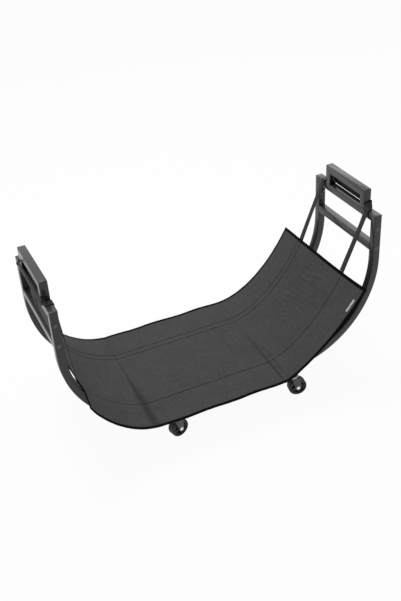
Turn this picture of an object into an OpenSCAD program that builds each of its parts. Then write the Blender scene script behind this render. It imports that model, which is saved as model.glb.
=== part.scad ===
// Fireside log cart: two bent tube rails, four cross tubes, two handle frames,
// two flat base bars on swivel casters, and a lift-off cloth carrier hung by its straps.
// Millimetres, +Z up. Origin: middle of the footprint, on the floor.

/* [Frame] */
// Length of the frame over the outer faces of the rails
frame_length = 860; // [700:10:1000]
// Width over the two rails
frame_width = 280; // [240:5:340]
// Height of the rail tops above the floor
rail_top = 458; // [400:2:520]
// Height of the rails' underside above the floor
ground_clearance = 70; // [66:1:90]
// Side of the square tube
tube = 20; // [16:1:25]
// Wall of the square tube
tube_wall = 1.5; // [1.2:0.1:2.5]
// Outer radius of the rail bends
bend_radius = 265; // [180:5:290]
// Drop from the rail tops to the top of the lower cross tubes
lower_drop = 84; // [70:1:110]

/* [Handle frames] */
// Length of a handle frame along the cross tube
handle_length = 179; // [140:1:190]
// Height of a handle frame above the cross tube
handle_rise = 51; // [45:1:70]

/* [Fasteners] */
// Bolt diameter
bolt_d = 6; // [5:0.5:8]
// Diameter of the domed bolt heads
bolt_head_d = 10; // [9:0.5:13]
// Drop from the rail tops to the upper bolts
upper_bolt_drop = 39; // [36:1:50]
// Drop from the rail tops to the hole plugs
plug_drop = 75; // [72:0.5:76]

/* [Base bars and casters] */
// Distance of the caster stems from the ends of the frame
caster_inset = 259; // [240:1:280]
// Distance of the caster stems outside the rails
caster_outset = 10; // [10:1:25]
// Width of a flat base bar
base_bar_width = 24; // [20:1:30]
// Thickness of a flat base bar
base_bar_thick = 4; // [3:0.5:6]
// Diameter of the caster wheels
wheel_d = 49; // [40:1:50]
// Width of the caster tyres
tyre_width = 22; // [16:1:24]
// Offset of a wheel behind its stem
caster_trail = 10; // [6:1:14]
// Turn of the left casters at rest, degrees
left_caster_turn = 15; // [-180:5:180]
// Turn of the right casters at rest, degrees
right_caster_turn = -10; // [-180:5:180]

/* [Carrier] */
// Width of the cloth across the cart
cloth_width = 415; // [360:5:440]
// Thickness of the cloth
cloth_thick = 1.5; // [1.2:0.1:2.5]
// Width of the edge binding
binding_width = 8; // [6:0.5:12]
// Width of the webbing straps
web_width = 18; // [14:1:24]
// Thickness of the webbing
web_thick = 1.5; // [1.2:0.1:2]
// Distance of the straps from the middle line, across the cart
web_y = 102; // [96:1:104]

/* [Hidden] */
half_l = frame_length / 2;
half_w = frame_width / 2;
bend_c = half_l - bend_radius;               // middle of a bend, along the cart
bend_z = ground_clearance + bend_radius;     // middle of a bend, height
inner_r = bend_radius - tube;                // inner radius of a bend
rail_y = half_w - tube / 2;                  // middle plane of a rail
post_x = half_l - tube / 2;                  // middle of the upright ends
cross_len = frame_width - 2 * tube;
upper_z = rail_top - tube / 2;
lower_z = rail_top - lower_drop - tube / 2;
bolt_z = rail_top - upper_bolt_drop;
plug_z = rail_top - plug_drop;
cavity = tube - 2 * tube_wall;
caster_x = half_l - caster_inset;            // place of the caster stems
caster_y = half_w + caster_outset;
slip = 0.1;                                  // clearance of parts slid into a tube
cap_thick = 2;                               // plate on a corner connector
bolt_r = bolt_d / 2;
bolt_gap = 0.05;                             // radial clearance of the bolts

bar_half = base_bar_width / 2;
bar_z = bend_z + 0.05 - sqrt(pow(inner_r, 2) - pow(max(caster_x + bar_half - bend_c, 0), 2));
bar_top = bar_z + base_bar_thick;
boss_r = 8;
boss_len = 16;
stem_r = 4;
screw_r = 2.5;
screw_head_r = 5;
screw_len = 16;

wheel_r = wheel_d / 2;
rim_r = wheel_r - 4.5;                       // where the tyre sits on the rim
hub_half = tyre_width / 2 + 0.5;
fork_inner = hub_half + 0.5;                 // inside half width of a fork
fork_thick = 2.5;
crown_z = wheel_r * 2 + 5;                   // underside of the fork crown
crown_thick = 3;
race_r = 14;
race_thick = 4;
cup_thick = 2.5;
run_gap = 0.3;                               // axial gaps between turning faces
axle_r = 3;

gap = 0.3;
sew_gap = 0.25;                              // between sewn layers
bind_under = 0.2;                            // binding tape below and above the cloth
bind_over = 0.4;
thick_half = cloth_thick / 2;
web_top = thick_half + bind_under + sew_gap; // webbing below the cloth's middle
flat_z = bar_top + gap + web_thick + web_top;   // cloth middle on the flat
left_r = inner_r - gap - thick_half - bind_under;   // the left panel lies on the rail bends
left_a0 = acos(min((bend_z - flat_z) / left_r, 1));
left_a1 = asin(220 / 245);                   // end of the left panel, angle in the bend
right_x0 = half_l - 306;                     // crease at the right
end_x = half_l - 79;                         // right end of the cloth
end_z = rail_top - 167;
cloth_half = cloth_width / 2;
field_half = cloth_half - binding_width;
strand_x = half_l + gap + web_thick;         // middle of the strap behind a handle frame
strand_right_z = rail_top - 1;               // lower edge of the straps behind the handle frames
strand_left_z = rail_top - 7;
web_shift = 3;                               // the webbing is sewn on a little nearer the back
pass_y = handle_length / 2 + 2;              // where a strap's edge passes a handle frame
panel_steps = 14;
line_last = 2 * panel_steps + 4;

$fn = 64;

// ---------- helpers ----------

// a shape at both ends and both sides of the cart, built for the right back corner
module at_corners() {
  for (mx = [0, 1], my = [0, 1])
    mirror([mx, 0, 0]) mirror([0, my, 0]) children();
}

module box(x0, x1, y0, y1, z0, z1) {
  translate([x0, y0, z0]) cube([x1 - x0, y1 - y0, z1 - z0]);
}

// a round bar along Y, from y0 to y1
module bar_y(x, z, r, y0, y1) {
  translate([x, y0, z]) rotate([-90, 0, 0]) cylinder(r = r, h = y1 - y0);
}

// area inside a rail line at distance r from the bend centres
module rail_area(r, top) {
  intersection() {
    union() {
      for (s = [-1, 1]) translate([s * bend_c, bend_z]) circle(r = r, $fn = 180);
      translate([-bend_c, bend_z - r]) square([2 * bend_c, r]);
      translate([-bend_c - r, bend_z]) square([2 * (bend_c + r), top - bend_z]);
    }
    translate([-half_l, 0]) square([frame_length, top]);
  }
}

module rail_band(r_out, r_in, top) {
  difference() {
    rail_area(r_out, top);
    rail_area(r_in, top + 10);
  }
}

// ---------- frame ----------

module back_rail_shape() {
  top = rail_top - cap_thick;
  difference() {
    translate([0, half_w, 0]) rotate([90, 0, 0])
      linear_extrude(tube) rail_band(bend_radius, inner_r, top);
    translate([0, half_w - tube_wall, 0]) rotate([90, 0, 0])
      linear_extrude(cavity) rail_band(bend_radius - tube_wall, inner_r + tube_wall, top + 5);
    for (s = [-1, 1]) {
      // slot for the corner connector, open at the top
      box(s * post_x - cavity / 2, s * post_x + cavity / 2,
          half_w - tube - 1, half_w - tube_wall, upper_z - cavity / 2, top + 5);
      bar_y(s * post_x, bolt_z, bolt_r + bolt_gap, half_w - tube - 1, half_w + 1);
      bar_y(s * post_x, lower_z, bolt_r + bolt_gap, half_w - tube - 1, half_w + 1);
      bar_y(s * post_x, plug_z, 5.05, half_w - tube - 1, half_w - tube / 2);
      translate([s * caster_x, rail_y, bar_z - 12])
        cylinder(r = screw_r + bolt_gap, h = 20);
    }
  }
}

module front_rail() { color("dimgray") mirror([0, 1, 0]) back_rail_shape(); }
module back_rail() { color("dimgray") back_rail_shape(); }

module cross_tube(x, z) {
  difference() {
    box(x - tube / 2, x + tube / 2, -cross_len / 2, cross_len / 2, z - tube / 2, z + tube / 2);
    box(x - cavity / 2, x + cavity / 2, -cross_len, cross_len, z - cavity / 2, z + cavity / 2);
  }
}

module left_upper_crossbar() { color("dimgray") cross_tube(-post_x, upper_z); }
module right_upper_crossbar() { color("dimgray") cross_tube(post_x, upper_z); }
module left_lower_crossbar() { color("dimgray") cross_tube(-post_x, lower_z); }
module right_lower_crossbar() { color("dimgray") cross_tube(post_x, lower_z); }

// an inverted U of tube standing on the upper cross tube
module handle_frame(x) {
  hl = handle_length / 2;
  top = rail_top + handle_rise;
  difference() {
    box(x - tube / 2, x + tube / 2, -hl, hl, rail_top, top);
    box(x - tube, x + tube, -hl + tube, hl - tube, rail_top - 1, top - tube);
    box(x - cavity / 2, x + cavity / 2, -hl + tube_wall, hl - tube_wall,
        top - tube + tube_wall, top - tube_wall);
    for (s = [-1, 1])
      box(x - cavity / 2, x + cavity / 2, s * (hl - tube / 2) - cavity / 2,
          s * (hl - tube / 2) + cavity / 2, rail_top - 1, top - tube_wall);
  }
}

module left_handle_frame() { color("dimgray") handle_frame(-post_x); }
module right_handle_frame() { color("dimgray") handle_frame(post_x); }

// cap plate on the rail end, one leg down the rail, one leg into the cross tube
module corner_connectors() {
  leg = cavity / 2 - slip;
  color("black") at_corners() difference() {
    union() {
      box(post_x - tube / 2, post_x + tube / 2, half_w - tube, half_w,
          rail_top - cap_thick, rail_top);
      box(post_x - leg, post_x + leg, rail_y - leg, rail_y + leg,
          bolt_z - 12, rail_top - cap_thick + 0.01);
      box(post_x - leg, post_x + leg, half_w - tube - 30, rail_y,
          upper_z - leg, upper_z + leg);
    }
    bar_y(post_x, bolt_z, bolt_r + bolt_gap, half_w - tube, half_w);
  }
}

// threaded blocks in the ends of the lower cross tubes
module crossbar_inserts() {
  leg = cavity / 2 - slip;
  color("gray") at_corners() difference() {
    box(post_x - leg, post_x + leg, cross_len / 2 - 24, cross_len / 2,
        lower_z - leg, lower_z + leg);
    bar_y(post_x, lower_z, bolt_r + bolt_gap, cross_len / 2 - 25, cross_len / 2 + 1);
  }
}

// a domed head with a hexagon socket, on the rail's outer face, and its shank
module bolt(z, inside_y) {
  head_h = 3;
  ball_r = (pow(bolt_head_d / 2, 2) + pow(head_h, 2)) / (2 * head_h);
  translate([post_x, half_w, z]) rotate([-90, 0, 0]) difference() {
    union() {
      intersection() {
        translate([0, 0, head_h - ball_r]) sphere(r = ball_r);
        cylinder(r = bolt_head_d, h = head_h);
      }
      translate([0, 0, inside_y - half_w]) cylinder(r = bolt_r, h = half_w - inside_y + 0.5);
    }
    translate([0, 0, head_h - 1.8]) cylinder(r = bolt_r * 0.75, h = 3, $fn = 6);
  }
}

module rail_bolts() { color("silver") at_corners() bolt(bolt_z, half_w - tube - 8); }
module crossbar_bolts() { color("silver") at_corners() bolt(lower_z, half_w - tube - 20); }

module rail_nuts() {
  color("black") at_corners()
    translate([post_x, half_w - tube - 5, bolt_z]) rotate([-90, 0, 0]) difference() {
      cylinder(r = bolt_r * 1.9, h = 5, $fn = 6);
      translate([0, 0, -1]) cylinder(r = bolt_r + bolt_gap, h = 7);
    }
}

// black plugs in the unused holes of the rails' inner faces
module hole_plugs() {
  color("black") at_corners() translate([post_x, half_w - tube, plug_z]) rotate([90, 0, 0]) {
    difference() {
      union() {
        cylinder(r = 7.5, h = 1);
        cylinder(r = 6.5, h = 2);
        translate([0, 0, -6]) cylinder(r = 5, h = 7);
      }
      translate([0, 0, -7]) cylinder(r = 3.5, h = 6);
    }
  }
}

// ---------- base bars and casters ----------

module base_bar(s) {
  difference() {
    union() {
      box(s * caster_x - bar_half, s * caster_x + bar_half, -caster_y, caster_y, bar_z, bar_top);
      for (t = [-1, 1])
        translate([s * caster_x, t * caster_y, bar_z]) cylinder(r = bar_half, h = base_bar_thick);
    }
    for (t = [-1, 1]) {
      translate([s * caster_x, t * caster_y, bar_z - 1])
        cylinder(r = stem_r + bolt_gap, h = base_bar_thick + 2);
      translate([s * caster_x, t * rail_y, bar_z - 1])
        cylinder(r = screw_r + bolt_gap, h = base_bar_thick + 2);
      translate([s * caster_x, t * rail_y, bar_top - (screw_head_r - screw_r)])
        cylinder(r1 = screw_r + bolt_gap, r2 = screw_head_r + bolt_gap, h = screw_head_r - screw_r);
    }
  }
}

module left_base_bar() { color("dimgray") base_bar(-1); }
module right_base_bar() { color("dimgray") base_bar(1); }

// countersunk screws through a base bar into the rail
module base_bar_screws() {
  sink = screw_head_r - screw_r;
  color("silver") at_corners() translate([caster_x, rail_y, bar_top - screw_len]) difference() {
    union() {
      cylinder(r = screw_r, h = screw_len - 0.2);
      translate([0, 0, screw_len - sink])
        cylinder(r1 = screw_r - 0.2, r2 = screw_head_r - 0.4, h = sink - 0.2);
    }
    translate([0, 0, screw_len - 1.8]) cylinder(r = 1.6, h = 3, $fn = 6);
  }
}

// threaded bosses welded under the bar ends
module caster_bosses() {
  color("dimgray") at_corners() translate([caster_x, caster_y, bar_z - boss_len]) difference() {
    cylinder(r = boss_r, h = boss_len);
    translate([0, 0, -1]) cylinder(r = stem_r + bolt_gap, h = boss_len + 2);
  }
}

// place a caster piece: sx and sy pick the corner, the turn is about the stem
module at_caster(sx, sy) {
  turn = sx > 0 ? right_caster_turn : left_caster_turn;
  translate([sx * caster_x, sy * caster_y, 0]) rotate([0, 0, turn]) children();
}

// the fixed stem with its upper bearing cup and the head under the fork crown
module caster_stem(sx, sy) {
  race_top = crown_z + crown_thick + race_thick;
  color("dimgray") at_caster(sx, sy) {
    translate([0, 0, crown_z - 2]) cylinder(r = stem_r, h = bar_top - crown_z + 2);
    translate([0, 0, crown_z - run_gap - 2]) cylinder(r = 6.5, h = 2);
    translate([0, 0, race_top + run_gap]) cylinder(r = 11, h = cup_thick);
    translate([0, 0, race_top + run_gap + cup_thick]) cylinder(r = 6.5, h = 3, $fn = 6);
  }
}

// the swivel raceway, pressed on the fork crown
module caster_raceway(sx, sy) {
  color("silver") at_caster(sx, sy) translate([0, 0, crown_z + crown_thick])
    rotate_extrude() polygon([
      [stem_r + bolt_gap, 0], [race_r, 0], [race_r, race_thick * 0.55],
      [race_r - 1.5, race_thick], [stem_r + bolt_gap, race_thick]]);
}

// crown plate and two tapered legs
module caster_fork(sx, sy) {
  w = fork_inner + fork_thick;
  color("black") at_caster(sx, sy) difference() {
    union() {
      translate([0, 0, crown_z]) cylinder(r = w, h = crown_thick);
      box(0, caster_trail + 4, -w, w, crown_z, crown_z + crown_thick);
      for (t = [-1, 1]) translate([0, t * (w - fork_thick / 2) + fork_thick / 2, 0])
        rotate([90, 0, 0]) linear_extrude(fork_thick) {
          translate([caster_trail, wheel_r]) circle(r = 7);
          polygon([[-5, crown_z + crown_thick], [caster_trail + 4, crown_z + crown_thick],
            [caster_trail + 7, crown_z - 4], [caster_trail + 7, wheel_r],
            [caster_trail - 6.2, wheel_r - 3.2], [-5, crown_z - 3]]);
        }
    }
    translate([0, 0, crown_z - 1]) cylinder(r = stem_r + bolt_gap, h = crown_thick + 2);
    bar_y(caster_trail, wheel_r, axle_r + bolt_gap, -w - 1, w + 1);
  }
}

// a riveted axle, domed at both ends
module caster_axle(sx, sy) {
  w = fork_inner + fork_thick;
  color("silver") at_caster(sx, sy) translate([caster_trail, 0, wheel_r]) rotate([90, 0, 0])
    rotate_extrude() polygon([
      [0, -w - 2], [3.2, -w - 1.6], [4.8, -w - 0.05], [axle_r, -w - 0.05],
      [axle_r, w + 0.05], [4.8, w + 0.05], [3.2, w + 1.6], [0, w + 2]]);
}

// hub, five spokes and rim
module caster_wheel(sx, sy) {
  web_half = tyre_width / 2 - 4;
  color("black") at_caster(sx, sy) translate([caster_trail, 0, wheel_r]) rotate([90, 0, 0])
    difference() {
      union() {
        translate([0, 0, -hub_half]) cylinder(r = 7, h = 2 * hub_half);
        for (a = [0:72:359]) rotate([0, 0, a])
          translate([0, -2.5, -web_half]) cube([rim_r - 2, 5, 2 * web_half]);
        translate([0, 0, -tyre_width / 2 + 1.5]) difference() {
          cylinder(r = rim_r, h = tyre_width - 3);
          translate([0, 0, -1]) cylinder(r = rim_r - 3, h = tyre_width);
        }
      }
      translate([0, 0, -hub_half - 1]) cylinder(r = axle_r + bolt_gap, h = 2 * hub_half + 2);
    }
}

module caster_tyre(sx, sy) {
  w = tyre_width / 2;
  color("black") at_caster(sx, sy) translate([caster_trail, 0, wheel_r]) rotate([90, 0, 0])
    rotate_extrude() polygon([
      [rim_r, -w + 1.5], [rim_r + 0.5, -w], [wheel_r - 2.5, -w], [wheel_r - 0.8, -w + 0.9],
      [wheel_r, -w + 3], [wheel_r, w - 3], [wheel_r - 0.8, w - 0.9], [wheel_r - 2.5, w],
      [rim_r + 0.5, w], [rim_r, w - 1.5]]);
}

module front_left_caster_stem() { caster_stem(-1, -1); }
module front_right_caster_stem() { caster_stem(1, -1); }
module back_left_caster_stem() { caster_stem(-1, 1); }
module back_right_caster_stem() { caster_stem(1, 1); }
module front_left_caster_raceway() { caster_raceway(-1, -1); }
module front_right_caster_raceway() { caster_raceway(1, -1); }
module back_left_caster_raceway() { caster_raceway(-1, 1); }
module back_right_caster_raceway() { caster_raceway(1, 1); }
module front_left_caster_fork() { caster_fork(-1, -1); }
module front_right_caster_fork() { caster_fork(1, -1); }
module back_left_caster_fork() { caster_fork(-1, 1); }
module back_right_caster_fork() { caster_fork(1, 1); }
module front_left_caster_axle() { caster_axle(-1, -1); }
module front_right_caster_axle() { caster_axle(1, -1); }
module back_left_caster_axle() { caster_axle(-1, 1); }
module back_right_caster_axle() { caster_axle(1, 1); }
module front_left_caster_wheel() { caster_wheel(-1, -1); }
module front_right_caster_wheel() { caster_wheel(1, -1); }
module back_left_caster_wheel() { caster_wheel(-1, 1); }
module back_right_caster_wheel() { caster_wheel(1, 1); }
module front_left_caster_tyre() { caster_tyre(-1, -1); }
module front_right_caster_tyre() { caster_tyre(1, -1); }
module back_left_caster_tyre() { caster_tyre(-1, 1); }
module back_right_caster_tyre() { caster_tyre(1, 1); }

// ---------- carrier ----------

function mix(a, b, t) = a + (b - a) * t;
function bez(a, b, c, d, t) = pow(1 - t, 3) * a + 3 * pow(1 - t, 2) * t * b
  + 3 * (1 - t) * t * t * c + pow(t, 3) * d;

// depth of the left panel's sag: none on the rails, some between and outside them
function left_sag(y) = abs(y) < half_w - tube - 1 ? 4 * (1 - pow(y / (half_w - tube - 1), 2))
  : abs(y) > half_w + 1 ? 7 * pow((abs(y) - half_w - 1) / (cloth_half - half_w - 1), 1.3) : 0;

// point [x, z] on the left panel: t = 0 at the crease, 1 at the end
function left_panel(y, t) =
  let (a = mix(left_a0, left_a1, t), r = left_r + left_sag(y) * sin(180 * min(t * 1.3, 0.5)))
  [-bend_c - r * sin(a), bend_z - r * cos(a)];

// point [x, z] on the right panel: the front edge is pulled higher than the back edge, and
// the straps draw the middle of the end up while its corners droop
function right_panel(y, t) =
  let (n = 2 * y / cloth_width, k = 0.5 - 0.2 * n - 0.3 * pow(n, 3),
       lift = 12 * (1 - pow(abs(n), 3)) * t * t,
       ex = mix(end_x + 4, end_x - 2, k), ez = mix(end_z - 10, end_z + 11, k))
  [bez(right_x0, right_x0 + mix(100, 75, k), ex - mix(42, 60, k), ex, t) - 0.83 * lift,
   bez(flat_z, flat_z + mix(0, 36, k), ez - mix(78, 88, k), ez, t) + 0.55 * lift];

// the whole run of the cloth at distance y from the middle line, left end to right end;
// the first and last steps are as long as the binding is wide
function cloth_line(y) = concat(
  [left_panel(y, 1), left_panel(y, 1 - binding_width / (left_r * (left_a1 - left_a0) * PI / 180))],
  [for (i = [panel_steps - 1:-1:1]) left_panel(y, i / panel_steps)],
  [[-bend_c - left_r * sin(left_a0), flat_z], [0, flat_z]],
  [for (i = [0:panel_steps - 1]) right_panel(y, i / panel_steps)],
  [right_panel(y, 1 - 0.3 * binding_width / (end_z - flat_z)), right_panel(y, 1)]);

function unit(v) = v / norm(v);

// the same run moved sideways by d, along the run's own normal (up is positive)
function shifted(line, d) = [for (i = [0:len(line) - 1])
  let (a = line[max(i - 1, 0)], b = line[min(i + 1, len(line) - 1)], t = unit(b - a))
  line[i] + d * [-t[1], t[0]]];

// one closed sheet between two sets of lines; each set is a list of columns of points
module sheet(low, high) {
  n = len(low);
  rows = len(low[0]);
  pts = [for (set = [low, high], col = set, p = col) p];
  function id(k, j, i) = (k * n + j) * rows + i;
  function quad(a, b, c, d) = [[a, b, c], [a, c, d]];
  polyhedron(pts, [for (q = concat(
    [for (j = [0:n - 2], i = [0:rows - 2])
      quad(id(1, j, i), id(1, j + 1, i), id(1, j + 1, i + 1), id(1, j, i + 1))],
    [for (j = [0:n - 2], i = [0:rows - 2])
      quad(id(0, j, i), id(0, j, i + 1), id(0, j + 1, i + 1), id(0, j + 1, i))],
    [for (i = [0:rows - 2])
      quad(id(0, 0, i), id(1, 0, i), id(1, 0, i + 1), id(0, 0, i + 1))],
    [for (i = [0:rows - 2])
      quad(id(0, n - 1, i), id(0, n - 1, i + 1), id(1, n - 1, i + 1), id(1, n - 1, i))],
    [for (j = [0:n - 2])
      quad(id(0, j, 0), id(0, j + 1, 0), id(1, j + 1, 0), id(1, j, 0))],
    [for (j = [0:n - 2])
      quad(id(0, j, rows - 1), id(1, j, rows - 1), id(1, j + 1, rows - 1), id(0, j + 1, rows - 1))]))
    each q]);
}

// columns of the cloth's run at the distances ys, moved by d along the run's normal
function columns(ys, d, first, last) = [for (y = ys)
  let (line = shifted(cloth_line(y), d)) [for (i = [first:last]) [line[i][0], y, line[i][1]]]];

module cloth_sheet(ys, low, high, first, last) {
  sheet(columns(ys, low, first, last), columns(ys, high, first, last));
}

rail_in = half_w - tube - 1;
rail_out = half_w + 1;
side_ys = [rail_in * 0.45, rail_in * 0.82, rail_in, rail_out, (field_half + rail_out) / 2,
           field_half];
field_ys = concat([for (i = [5:-1:0]) -side_ys[i]], [0], side_ys);

// the cloth inside its binding
module carrier_cloth() {
  color("slategray") cloth_sheet(field_ys, -thick_half, thick_half, 1, line_last - 1);
}

// binding tape along the two long edges and across the two ends
module carrier_binding() {
  low = -thick_half - bind_under;
  high = thick_half + bind_over;
  near = field_half + 0.1;
  color("black") {
    cloth_sheet([-cloth_half, -near], low, high, 0, line_last);
    cloth_sheet([near, cloth_half], low, high, 0, line_last);
    cloth_sheet(field_ys, low, high, 0, 1);
    cloth_sheet(field_ys, low, high, line_last - 1, line_last);
  }
}

// a blank tag lying on the front edge of the right panel
module carrier_tag() {
  ys = [-cloth_half + 3, -cloth_half + 10];
  function tag_columns(d) = [for (y = ys)
    let (line = shifted([for (t = [0.74:0.03:0.86]) right_panel(y, t)], d))
    [for (p = line) [p[0], y, p[1]]]];
  color("white") sheet(tag_columns(thick_half + 0.6), tag_columns(thick_half + 1.2));
}

// webbing sewn under the cloth
module under_web(s) {
  ys = [for (k = [-1, 1]) s * web_y + web_shift + k * web_width / 2];
  cloth_sheet(ys, -web_top - web_thick, -web_top, 0, line_last);
}

module front_web() { color("dimgray") under_web(-1); }
module back_web() { color("dimgray") under_web(1); }

// a webbing strip along stations [middle, direction of the width]
module strip(stations) {
  last = len(stations) - 1;
  rims = [for (i = [0:last])
    let (c = stations[i][0],
         t = unit(stations[min(i + 1, last)][0] - stations[max(i - 1, 0)][0]),
         w0 = stations[i][1], w = unit(w0 - (w0 * t) * t), n = cross(t, w))
    [for (k = [[-1, -1], [1, -1], [-1, 1], [1, 1]])
      c + k[0] * w * web_width / 2 + k[1] * n * web_thick / 2]];
  sheet([for (k = [0, 1]) [for (r = rims) r[k]]], [for (k = [2, 3]) [for (r = rims) r[k]]]);
}

// half a strap loop, from the webbing under the cloth to the middle behind the handle frame.
// Each station holds the strap's outer edge, its twist and the direction it leans in:
// twist 0 is flat across the cart, 90 stands on edge. The rise is twisted by turn degrees.
function half_loop(foot, crossing, turn) =
  let (lip_x = post_x - tube / 2 - 1.6, lip = [lip_x, -pass_y - web_width, rail_top - 5],
       climb = unit(lip - foot), side = [-climb[2], 0, climb[0]])
  [for (s = concat(
    [[foot, turn * 0.4, side], [mix(foot, lip, 0.4), turn, side],
     [mix(foot, lip, 0.8), turn * 1.2, side], [lip, 0, side]], crossing))
    let (w = cos(s[1]) * [0, 1, 0] + sin(s[1]) * s[2]) [s[0] + w * web_width / 2, w]];

// stations of a strap drawn tight over the cross tube: it turns on edge on top of the tube
function tight_crossing(low) =
  let (y = -pass_y - web_width, seat = rail_top + 1.2, up = [0, 0, 1])
  [[[post_x - tube / 2 - 1.3, y - 0.4, seat], 7, unit([-0.5, 0, 1])],
   [[post_x - 7.5, y + 3, seat + 0.1], 33, up],
   [[post_x - 1, -pass_y - web_width * 0.6, seat], 54, up],
   [[half_l - 2, -pass_y - web_width * 0.4, seat], 70, up],
   [[strand_x + 0.6, -pass_y - 1.5, mix(seat, low, 0.3)], 83, up],
   [[strand_x + 0.6, -pass_y + 11, mix(seat, low, 0.7)], 90, up],
   [[strand_x, -pass_y + 30, low], 90, up],
   [[strand_x, 0, low], 90, up]];

// stations of a slack strap: it lies flat on the cross tube and its lower edge stands out
// by the distance out behind it
function slack_crossing(low, out) =
  let (y = -pass_y - web_width, seat = rail_top + 1.2, up = [0, 0, 1],
       lean = unit([-out / web_width, 0, 1]))
  [[[post_x - tube / 2 - 1.3, y - 0.4, seat], 1, unit([-0.5, 0, 1])],
   [[post_x - 7, y - 0.5, seat], 2, up],
   [[half_l - 4, y - 0.2, seat], 6, up],
   [[strand_x, -pass_y - web_width * 0.7, seat - 1.5], 45, up],
   [[strand_x + 0.5 + out / 2, -pass_y - 7, mix(seat, low, 0.5)], 70, lean],
   [[strand_x + 0.5 + out * 0.8, -pass_y + 8, mix(seat, low, 0.8)], 90, lean],
   [[strand_x + out, -pass_y + 40, low], 90, lean],
   [[strand_x + 2, 0, low - 1], 90, unit([-2 / web_width, 0, 1])]];

// a whole loop: the front half, then the back half turned about
module strap_loop(front, back) {
  n = len(front);
  strip(concat(front, [for (i = [n - 2:-1:0])
    let (c = back[i][0], w = back[i][1]) [[c[0], -c[1], c[2]], [w[0], -w[1], w[2]]]]));
}

// where the two ends of a loop leave the webbing: the outer edges, front and back, both
// seen as if they were at the front right
function loop_feet(right) = [for (s = [-1, 1])
  let (y = s * web_y + web_shift, line = shifted(cloth_line(y), -web_top - web_thick / 2),
       i = right ? line_last : 0, j = right ? line_last - 1 : 1,
       p = line[i] + unit(line[i] - line[j]) * 0.6)
  [abs(p[0]), -abs(y) - web_width / 2, p[1]]];

module right_strap_loop() {
  feet = loop_feet(true);
  over = tight_crossing(strand_right_z);
  color("dimgray") strap_loop(half_loop(feet[0], over, -15), half_loop(feet[1], over, 0));
}
module left_strap_loop() {
  feet = loop_feet(false);
  color("dimgray") mirror([1, 0, 0])
    strap_loop(half_loop(feet[0], slack_crossing(strand_left_z, 3), 0),
               half_loop(feet[1], slack_crossing(strand_left_z, 0.5), 0));
}

front_rail();
back_rail();
left_upper_crossbar();
right_upper_crossbar();
left_lower_crossbar();
right_lower_crossbar();
left_handle_frame();
right_handle_frame();
corner_connectors();
crossbar_inserts();
rail_bolts();
rail_nuts();
crossbar_bolts();
hole_plugs();
left_base_bar();
right_base_bar();
base_bar_screws();
caster_bosses();
front_left_caster_stem();
front_right_caster_stem();
back_left_caster_stem();
back_right_caster_stem();
front_left_caster_raceway();
front_right_caster_raceway();
back_left_caster_raceway();
back_right_caster_raceway();
front_left_caster_fork();
front_right_caster_fork();
back_left_caster_fork();
back_right_caster_fork();
front_left_caster_axle();
front_right_caster_axle();
back_left_caster_axle();
back_right_caster_axle();
front_left_caster_wheel();
front_right_caster_wheel();
back_left_caster_wheel();
back_right_caster_wheel();
front_left_caster_tyre();
front_right_caster_tyre();
back_left_caster_tyre();
back_right_caster_tyre();
carrier_cloth();
carrier_binding();
carrier_tag();
front_web();
back_web();
left_strap_loop();
right_strap_loop();
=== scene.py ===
"""Fireside log cart: the looks of the steel frame, its casters and the cloth log carrier.

Metres, +Z up, +X to the right of the picture. Origin: middle of the footprint, on the floor.
"""
import math

import bmesh
import bpy
import numpy as np
from mathutils import Matrix, Vector, noise


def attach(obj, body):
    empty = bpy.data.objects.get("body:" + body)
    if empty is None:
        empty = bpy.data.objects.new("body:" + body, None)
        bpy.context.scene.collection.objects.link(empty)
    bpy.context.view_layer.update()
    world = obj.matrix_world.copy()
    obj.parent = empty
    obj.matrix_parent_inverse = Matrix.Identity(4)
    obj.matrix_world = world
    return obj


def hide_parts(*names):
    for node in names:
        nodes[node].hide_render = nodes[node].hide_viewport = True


bl_info = {
    "name": "Fireside log cart",
    "version": (1, 0, 0),
    "blender": (4, 5, 0),
    "location": "3D View > Sidebar > Log Cart",
    "description": "Builds the visual pieces of a log cart round its packed frame",
    "category": "Object",
}

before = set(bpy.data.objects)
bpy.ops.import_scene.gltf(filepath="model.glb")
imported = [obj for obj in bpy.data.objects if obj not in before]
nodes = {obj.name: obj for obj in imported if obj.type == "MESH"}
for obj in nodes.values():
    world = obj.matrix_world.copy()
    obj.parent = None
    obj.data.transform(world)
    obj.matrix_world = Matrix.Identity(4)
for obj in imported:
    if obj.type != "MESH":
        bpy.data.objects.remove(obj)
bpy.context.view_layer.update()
MM = 0.001
CORNERS = [(side, end) for side in ("front", "back") for end in ("left", "right")]


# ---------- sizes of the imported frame, in millimetres ----------

HALF_L, HALF_W, RAIL_TOP, TUBE = 430.0, 140.0, 458.0, 20.0
GROUND, BEND_R = 70.0, 265.0
BEND_C, BEND_Z, INNER_R = HALF_L - BEND_R, GROUND + BEND_R, BEND_R - TUBE
POST_X = HALF_L - TUBE / 2
CAP_T, LOWER_DROP, HANDLE_L, HANDLE_RISE = 2.0, 94.0, 179.0, 51.0
CASTER_X, CASTER_Y, BAR_HALF, BAR_T = 171.0, 150.0, 12.0, 4.0
BAR_TOP = BEND_Z + 0.05 - math.sqrt(INNER_R**2 - (CASTER_X + BAR_HALF - BEND_C)**2) + BAR_T
CLOTH_W, CLOTH_T, BINDING_W = 415.0, 1.5, 8.6
WEB_W, WEB_T, WEB_Y, WEB_SHIFT = 18.0, 1.5, 102.0, 3.0
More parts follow.
